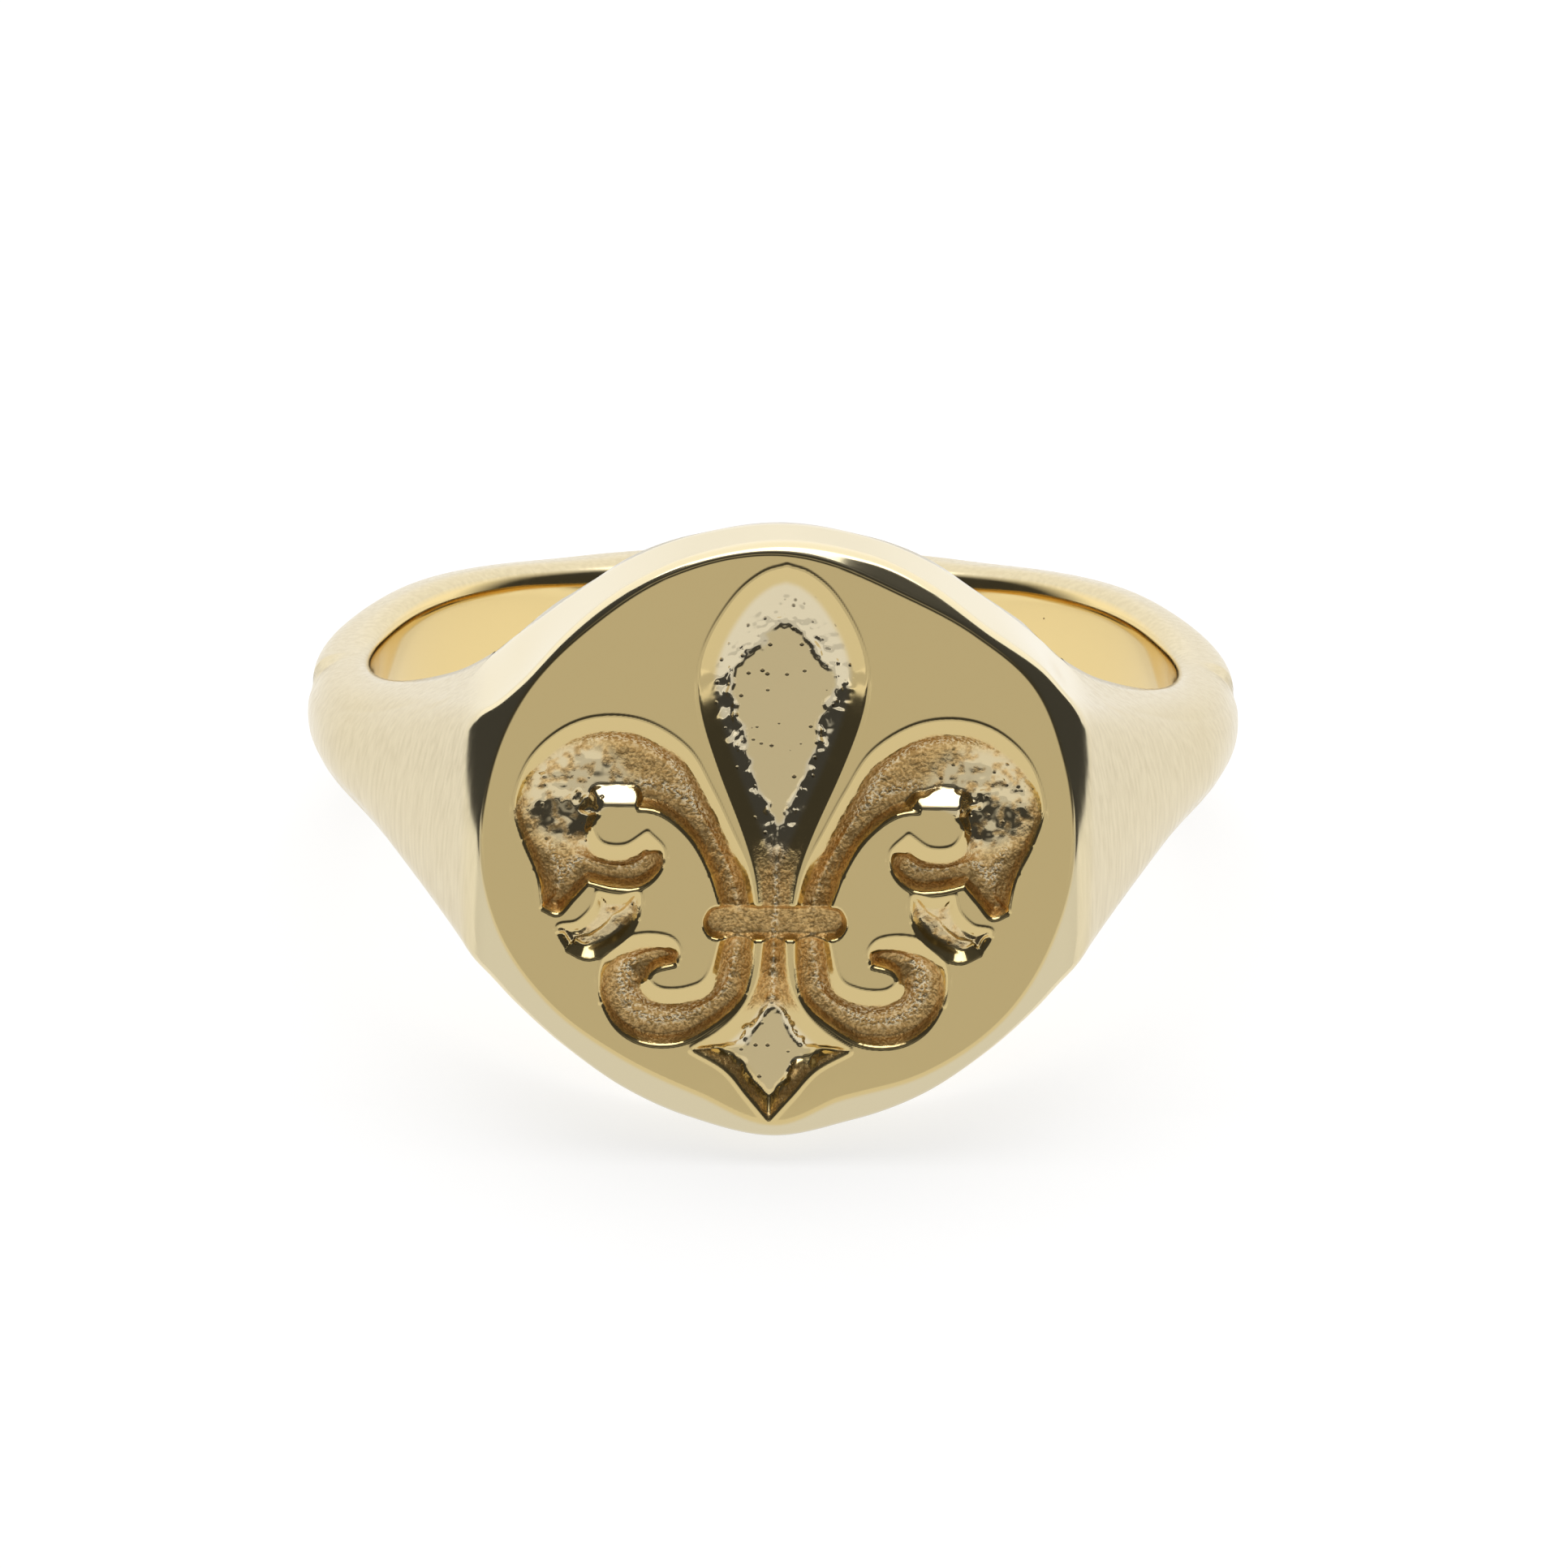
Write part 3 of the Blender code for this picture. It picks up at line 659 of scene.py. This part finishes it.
def head_angles():
    """Columns at even steps across the table and along the start of the shoulders."""
    reach = HEAD_HALF_WIDTH + 0.3
    across = np.arctan(np.linspace(-reach, reach, HEAD_COLUMNS) / TABLE_DISTANCE)
    shoulder = np.linspace(across[-1], JOINT_ANGLE, SHOULDER_COLUMNS)[1:]
    return np.concatenate((-shoulder[::-1], across, shoulder))


def in_bore(points):
    """1 on the inside of the ring, 0 on the outside."""
    return ease((BORE_RADIUS + 0.14 - np.hypot(points[..., 0], points[..., 1])) / 0.1)


def gold_piece(name, points, marks, material):
    """A solid with the marks that its gold reads, plain where it has none."""
    blank = np.zeros(points.shape[:2])
    labels = ("grain", "sheen", "spark", "polished", "brushed")
    piece = band_mesh(name, points, {label: marks.get(label, blank) for label in labels})
    piece.data.materials.append(material)
    return piece


def signet_head(material):
    """The head with its table, chamfer and engraved emblem."""
    points = sections(head_angles(), HEAD_DETAIL)
    x, y, z = points[..., 0], points[..., 1], points[..., 2] - TABLE_RISE
    on_front = y < -TABLE_DISTANCE + FRONT_REACH
    depth, grain, sheen, spark, crumple = (np.where(on_front, read_map(field, x, z), 0.0)
                                           for field in emblem_maps())
    rough = layered_noise(x, z, CAST_ROUGHNESS)
    near_petal_head = np.exp(-((z - 4.3) / 0.8) ** 2)
    veined = 0.2 + 0.6 * near_petal_head + 2.0 * crumple
    smooth = veined * layered_noise(x, z, SMOOTH_WAVES)
    lean = CRUMPLE_LEAN * (z - np.abs(x) + CRUMPLE_MIDDLE) + layered_noise(x, z, CRUMPLE_WAVES)
    on_table = ease((-y - TABLE_DISTANCE + 0.04) / 0.04)
    marks = {
        "grain": grain,
        "sheen": sheen,
        "spark": spark,
        "polished": np.maximum(on_table, in_bore(points)),
        "brushed": ease((np.abs(x) - HEAD_HALF_WIDTH + 0.4) / 0.8),
    }
    points[..., 1] += depth + grain * rough + sheen * (1 - grain) * smooth + crumple * lean
    return gold_piece("signet_head_gold", points, marks, material)


def plain_band(name, first, last, columns, material):
    """A stretch of the band between two angles, satin outside and polished inside."""
    points = sections(np.linspace(first, last, columns), BAND_DETAIL)
    marks = {"polished": in_bore(points), "brushed": np.ones(points.shape[:2])}
    return gold_piece(name, points, marks, material)


# ---------------------------------------------------------------- materials
def add(tree, kind, settings=None, **values):
    """A new node, with its settings and with values or links for its inputs."""
    node = tree.nodes.new("ShaderNode" + kind)
    for label, value in (settings or {}).items():
        setattr(node, label, value)
    for label, value in values.items():
        socket = node.inputs[label.replace("_", " ")]
        if isinstance(value, bpy.types.NodeSocket):
            tree.links.new(value, socket)
        else:
            socket.default_value = value
    return node


def noise(tree, place, size, detail=2.0, stretch=(1.0, 1.0, 1.0)):
    """Procedural noise with features of the given size in metres."""
    scaled = add(tree, "Mapping", Vector=place, Scale=stretch).outputs["Vector"]
    return add(tree, "TexNoise", Vector=scaled, Scale=1 / size, Detail=detail).outputs["Fac"]


def spots(tree, place, spacing):
    """Distance to the nearest of many scattered points, as a share of their spacing in metres."""
    return add(tree, "TexVoronoi", Vector=place, Scale=1 / spacing).outputs["Distance"]


def remap(tree, value, low, high, new_low=0.0, new_high=1.0):
    return add(tree, "MapRange", Value=value, From_Min=low, From_Max=high, To_Min=new_low,
               To_Max=new_high).outputs["Result"]


def combine(tree, operation, first, second):
    node = tree.nodes.new("ShaderNodeMath")
    node.operation = operation
    for socket, value in zip(node.inputs, (first, second)):
        if isinstance(value, bpy.types.NodeSocket):
            tree.links.new(value, socket)
        else:
            socket.default_value = value
    return node.outputs["Value"]


def blend(tree, factor, first, second):
    return add(tree, "Mix", Factor=factor, A=first, B=second).outputs["Result"]


def blend_colour(tree, factor, first, second):
    return add(tree, "Mix", {"data_type": "RGBA"}, Factor=factor, A=first, B=second).outputs["Result"]


PALE_GOLD = (0.80, 0.625, 0.295, 1.0)
# Raw cast gold, made paler than it is as a painted sheen on the smoother recess floors.
RAW_AND_SHEEN_GOLD = (0.88, 0.77, 0.53, 1.0)
SMOOTH_GOLD = (0.80, 0.695, 0.45, 1.0)
SATIN_GOLD = (0.70, 0.605, 0.395, 1.0)
SHADED_SATIN_GOLD = (0.655, 0.56, 0.36, 1.0)
# Grainy floors: a darker, more orange brown, partly cast grain and partly painted groove shade.
DEEP_GOLD = (0.93, 0.63, 0.26, 1.0)
CAST_GOLD_WITH_GROOVE_SHADE = (0.58, 0.36, 0.13, 1.0)
# Painted glints: whitish specks along the middle lines of the grainy floors.
PAINTED_GLINT_GOLD = (0.97, 0.84, 0.58, 1.0)
# Painted shade in the pits.
PAINTED_PIT_SHADE = (0.10, 0.07, 0.03, 1.0)


# Feature sizes in metres.
SPECKLE_SIZE = 0.00007
CLOUD_SIZE = 0.0006
STREAK_SIZE = 0.00014
STREAK_STRETCH = (1.0, 1.0, 0.15)
CASTING_PIT_SPACING = 0.00032
STRAY_PIT_SPACING = 0.0028
GLINT_HEIGHT = 0.00005
SCRATCH_HEIGHT = 0.00002
PIT_DEPTH = 0.00003


def gold(name):
    """Pale yellow gold: polished table, satin shoulders with fine streaks, as-cast recess floors with
    painted groove shade, a painted sheen, painted glints and painted shade in the pits.
    """
    material = bpy.data.materials.new(name)
    material.use_nodes = True
    tree = material.node_tree
    place = tree.nodes.new("ShaderNodeTexCoord").outputs["Object"]
    marks = {label: add(tree, "Attribute", {"attribute_name": label}).outputs["Fac"]
             for label in ("grain", "sheen", "spark", "polished", "brushed")}
    marks["shiny"] = combine(tree, "MAXIMUM", marks["polished"], marks["sheen"])
    marks["speckle"] = noise(tree, place, SPECKLE_SIZE, 3.0)
    marks["cloud"] = noise(tree, place, CLOUD_SIZE, 3.0)
    marks["streak"] = noise(tree, place, STREAK_SIZE, 4.0, STREAK_STRETCH)
    # Pits: small dents, with painted shade in them.
    casting_pits = combine(tree, "MULTIPLY", remap(tree, marks["sheen"], 0.1, 0.3),
                           remap(tree, spots(tree, place, CASTING_PIT_SPACING), 0.07, 0.18, 1.0, 0.0))
    stray_pits = remap(tree, spots(tree, place, STRAY_PIT_SPACING), 0.008, 0.014, 1.0, 0.0)
    marks["pit"] = combine(tree, "MAXIMUM", casting_pits, stray_pits)

    shader = tree.nodes["Principled BSDF"]
    shader.inputs["Metallic"].default_value = 1.0
    tree.links.new(gold_colour(tree, marks), shader.inputs["Base Color"])
    tree.links.new(gold_roughness(tree, marks), shader.inputs["Roughness"])
    tree.links.new(gold_relief(tree, marks), shader.inputs["Normal"])
    return material


def gold_colour(tree, marks):
    """Pale where it is polished and satin outside.  The smoother recesses are raw gold painted paler as a
    sheen; the grainy ones are a darker, more orange brown, partly painted groove shade, with painted
    glints; pits get painted shade."""
    speckle = marks["speckle"]
    # Grainy floors: partly the cast grain and partly painted shade of the grooves.
    cast = blend_colour(tree, remap(tree, speckle, 0.42, 0.58), CAST_GOLD_WITH_GROOVE_SHADE, DEEP_GOLD)
    # Painted glints on some speckles along the middle lines.
    painted_glint = combine(tree, "MULTIPLY", marks["spark"], remap(tree, speckle, 0.48, 0.56))
    cast = blend_colour(tree, painted_glint, cast, PAINTED_GLINT_GOLD)
    satin = blend_colour(tree, remap(tree, marks["streak"], 0.35, 0.65), SATIN_GOLD, SHADED_SATIN_GOLD)
    colour = blend_colour(tree, marks["brushed"], SMOOTH_GOLD, satin)
    colour = blend_colour(tree, marks["polished"], colour, PALE_GOLD)
    # Painted sheen: the smoother recesses made paler, partly their raw tone.
    colour = blend_colour(tree, marks["sheen"], colour, RAW_AND_SHEEN_GOLD)
    colour = blend_colour(tree, marks["grain"], colour, cast)
    # Painted shade: pits darkened almost to black.
    return blend_colour(tree, combine(tree, "MULTIPLY", marks["pit"], 0.8), colour, PAINTED_PIT_SHADE)


def gold_roughness(tree, marks):
    """Lowest on the polished gold, higher on the satin and highest on the grainy floors."""
    streaky = remap(tree, marks["streak"], 0.3, 0.7, 0.17, 0.27)
    satin = blend(tree, marks["brushed"], 0.13, streaky)
    polish = remap(tree, marks["cloud"], 0.3, 0.7, 0.07, 0.12)
    worn = remap(tree, marks["spark"], 0.0, 1.0, 0.42, 0.22)
    smooth = blend(tree, marks["shiny"], satin, polish)
    return blend(tree, marks["grain"], smooth, worn)


def gold_relief(tree, marks):
    """Sparkling grains, fine scratches on the satin gold and small pits."""
    sparkling = combine(tree, "MAXIMUM", combine(tree, "MULTIPLY", marks["grain"], 0.6), marks["spark"])
    dull = combine(tree, "MULTIPLY", marks["brushed"], remap(tree, marks["shiny"], 0.0, 1.0, 0.06, 0.01))
    grains = add(tree, "Bump", Height=marks["speckle"], Strength=sparkling, Distance=GLINT_HEIGHT)
    scratched = add(tree, "Bump", Height=marks["streak"], Strength=dull, Distance=SCRATCH_HEIGHT,
                    Normal=grains.outputs["Normal"])
    dented = add(tree, "Bump", {"invert": True}, Height=marks["pit"], Strength=0.5, Distance=PIT_DEPTH,
                 Normal=scratched.outputs["Normal"])
    return dented.outputs["Normal"]


# ---------------------------------------------------------------- stage, light and camera
WHITE = (1.0, 1.0, 1.0, 1.0)
BLACK = (0.0, 0.0, 0.0, 1.0)
FLOOR_SIZE = 3.0
FLOOR_COLOUR = (0.35, 0.35, 0.35, 1.0)
FLOOR_GLOW = 0.72


def paper_floor():
    """A pale plate that glows a little itself, so shadows on it stay faint."""
    bpy.ops.mesh.primitive_plane_add(size=FLOOR_SIZE)
    floor = bpy.context.object
    floor.name = "floor"
    paper = bpy.data.materials.new("white_paper")
    paper.use_nodes = True
    shader = paper.node_tree.nodes["Principled BSDF"]
    shader.inputs["Base Color"].default_value = FLOOR_COLOUR
    shader.inputs["Roughness"].default_value = 0.9
    shader.inputs["Emission Color"].default_value = WHITE
    shader.inputs["Emission Strength"].default_value = FLOOR_GLOW
    floor.data.materials.append(paper)


def reflection_card(name, centre, size, turn, level):
    """A card of the given brightness that only shows as a reflection."""
    bpy.ops.mesh.primitive_plane_add(size=1.0, location=centre, rotation=turn)
    card = bpy.context.object
    card.name = name
    card.scale = (*size, 1.0)
    paper = bpy.data.materials.new(name)
    paper.use_nodes = True
    shader = paper.node_tree.nodes["Principled BSDF"]
    shader.inputs["Base Color"].default_value = BLACK
    shader.inputs["Roughness"].default_value = 1.0
    shader.inputs["Specular IOR Level"].default_value = 0.0
    shader.inputs["Emission Color"].default_value = WHITE
    shader.inputs["Emission Strength"].default_value = level
    card.data.materials.append(paper)
    card.visible_camera = False
    card.visible_diffuse = False
    card.visible_shadow = False


def ramp(tree, height, stops):
    """Brightness of the surroundings from pairs of (elevation in degrees, level)."""
    node = add(tree, "ValToRGB", Fac=remap(tree, height, -1.0, 1.0))
    elements = node.color_ramp.elements
    for _ in stops[2:]:
        elements.new(0.5)
    for element, (elevation, level) in zip(elements, stops):
        element.position = (math.sin(math.radians(elevation)) + 1) / 2
        element.color = (level, level, level, 1.0)
    return node.outputs["Color"]


TABLE_LEVEL = 0.60
DARK_LEVEL = 0.05
FRONT_LEVELS = ((-90, TABLE_LEVEL), (6, TABLE_LEVEL), (13, DARK_LEVEL), (23, DARK_LEVEL), (28, 0.3),
                (32, 0.3), (37, DARK_LEVEL), (55, DARK_LEVEL), (72, 0.3), (82, 1.1))
SIDE_LEVELS = ((-90, 0.1), (0, DARK_LEVEL), (50, DARK_LEVEL), (72, 0.3), (82, 1.1))
BACK_LEVELS = ((-90, 1.2), (90, 1.2))
UPRIGHT = (0.0, HALF_TURN / 2, 0.0)
LYING = (0.0, 0.0, 0.0)
REFLECTION_CARDS = (
    ("flag_left", (-0.024, -0.0105, 0.033), (0.06, 0.023), UPRIGHT, DARK_LEVEL),
    ("flag_right", (0.024, -0.0105, 0.033), (0.06, 0.023), UPRIGHT, DARK_LEVEL),
    ("near_card", (0.0, -0.025, 0.0002), (0.07, 0.030), LYING, 0.80),
    ("front_card", (0.0, -0.77, 0.0002), (0.3, 1.46), LYING, TABLE_LEVEL),
)
SOFTBOX_PLACE = (0.0, 0.03, 0.22)
SOFTBOX_SIZE = (0.30, 0.13)
SOFTBOX_POWER = 0.20


def surroundings():
    """A bright wall behind, and a dark room with a grey table in front.  The camera itself sees
    plain white."""
    world = bpy.data.worlds.new("studio")
    bpy.context.scene.world = world
    world.use_nodes = True
    tree = world.node_tree
    direction = tree.nodes.new("ShaderNodeTexCoord").outputs["Generated"]
    parts = add(tree, "SeparateXYZ", Vector=direction).outputs
    sideways = combine(tree, "ABSOLUTE", parts["X"], 0.0)
    front = blend_colour(tree, remap(tree, sideways, 0.25, 0.5), ramp(tree, parts["Z"], FRONT_LEVELS),
                         ramp(tree, parts["Z"], SIDE_LEVELS))
    whole = blend_colour(tree, remap(tree, parts["Y"], -0.05, 0.3), front,
                         ramp(tree, parts["Z"], BACK_LEVELS))
    seen = tree.nodes.new("ShaderNodeLightPath").outputs["Is Camera Ray"]
    shown = blend_colour(tree, seen, whole, WHITE)
    tree.links.new(shown, tree.nodes["Background"].inputs["Color"])


def softbox():
    """The broad light overhead, a little behind the ring and turned to it."""
    light = bpy.data.lights.new("softbox", "AREA")
    light.energy = SOFTBOX_POWER
    light.shape = "RECTANGLE"
    light.size, light.size_y = SOFTBOX_SIZE
    lamp = bpy.data.objects.new("softbox", light)
    bpy.context.scene.collection.objects.link(lamp)
    lamp.location = SOFTBOX_PLACE
    lamp.rotation_euler = (-math.atan2(SOFTBOX_PLACE[1], SOFTBOX_PLACE[2]), 0.0, 0.0)


# Angles round the ring as it is drawn upright, and distances in millimetres.
CAMERA_AZIMUTH = math.radians(0.78)
CAMERA_ELEVATION = math.radians(15.6)
CAMERA_ROLL = math.radians(0.83)
CAMERA_DISTANCE = 330.0
FRAME_WIDTH = 37.27
SENSOR_WIDTH = 36.0
CENTRE_RIGHT = -0.26
CENTRE_UP = 1.686


def camera():
    """The camera, placed in the ring's own frame.  The ring's origin shows CENTRE_RIGHT to the right
    of the picture's middle and CENTRE_UP above it."""
    azimuth, elevation = CAMERA_AZIMUTH, CAMERA_ELEVATION
    forward = Vector((math.sin(azimuth) * math.cos(elevation),
                      math.cos(azimuth) * math.cos(elevation),
                      -math.sin(elevation)))
    level = Vector((math.cos(azimuth), -math.sin(azimuth), 0.0))
    upward = level.cross(forward)
    right = level * math.cos(CAMERA_ROLL) + upward * math.sin(CAMERA_ROLL)
    up = upward * math.cos(CAMERA_ROLL) - level * math.sin(CAMERA_ROLL)
    place = -(right * CENTRE_RIGHT + up * CENTRE_UP + forward * CAMERA_DISTANCE)
    data = bpy.data.cameras.new("camera")
    data.sensor_width = SENSOR_WIDTH
    data.lens = SENSOR_WIDTH * CAMERA_DISTANCE / FRAME_WIDTH
    data.clip_start = 0.01
    data.clip_end = 10.0
    holder = bpy.data.objects.new("camera", data)
    bpy.context.scene.collection.objects.link(holder)
    turn = Matrix((right, up, -forward)).transposed()
    tilt = TO_SCENE.to_3x3().normalized()
    holder.matrix_world = Matrix.Translation(TO_SCENE @ place) @ (tilt @ turn).to_4x4()
    bpy.context.scene.camera = holder


def ring():
    """The four gold pieces, each in place of its CAD node."""
    head_gold = gold("head_gold")
    band_gold = gold("band_gold")
    seam = SOLDER_THICKNESS / ((BORE_RADIUS + SHANK_RADIUS) / 2)
    first, last = JOINT_ANGLE + seam, 2 * HALF_TURN - JOINT_ANGLE - seam
    head = signet_head(head_gold)
    shank = plain_band("shank_gold", first, last, SHANK_COLUMNS, band_gold)
    left = plain_band("solder_left_gold", -JOINT_ANGLE - seam, -JOINT_ANGLE, SOLDER_COLUMNS, band_gold)
    right = plain_band("solder_right_gold", JOINT_ANGLE, JOINT_ANGLE + seam, SOLDER_COLUMNS, band_gold)
    for piece, node, slot in ((head, "signet_head", "head_gold"), (shank, "shank", "shank_gold"),
                              (left, "solder_joint_left", "solder_gold"),
                              (right, "solder_joint_right", "solder_gold")):
        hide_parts(node)
        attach(piece, "root")


def studio():
    """A pale floor, a light and surroundings for the gold to mirror."""
    paper_floor()
    for name, centre, size, turn, level in REFLECTION_CARDS:
        reflection_card(name, centre, size, turn, level)
    surroundings()
    softbox()


bpy.context.scene.view_settings.view_transform = "Standard"
ring()
studio()
camera()
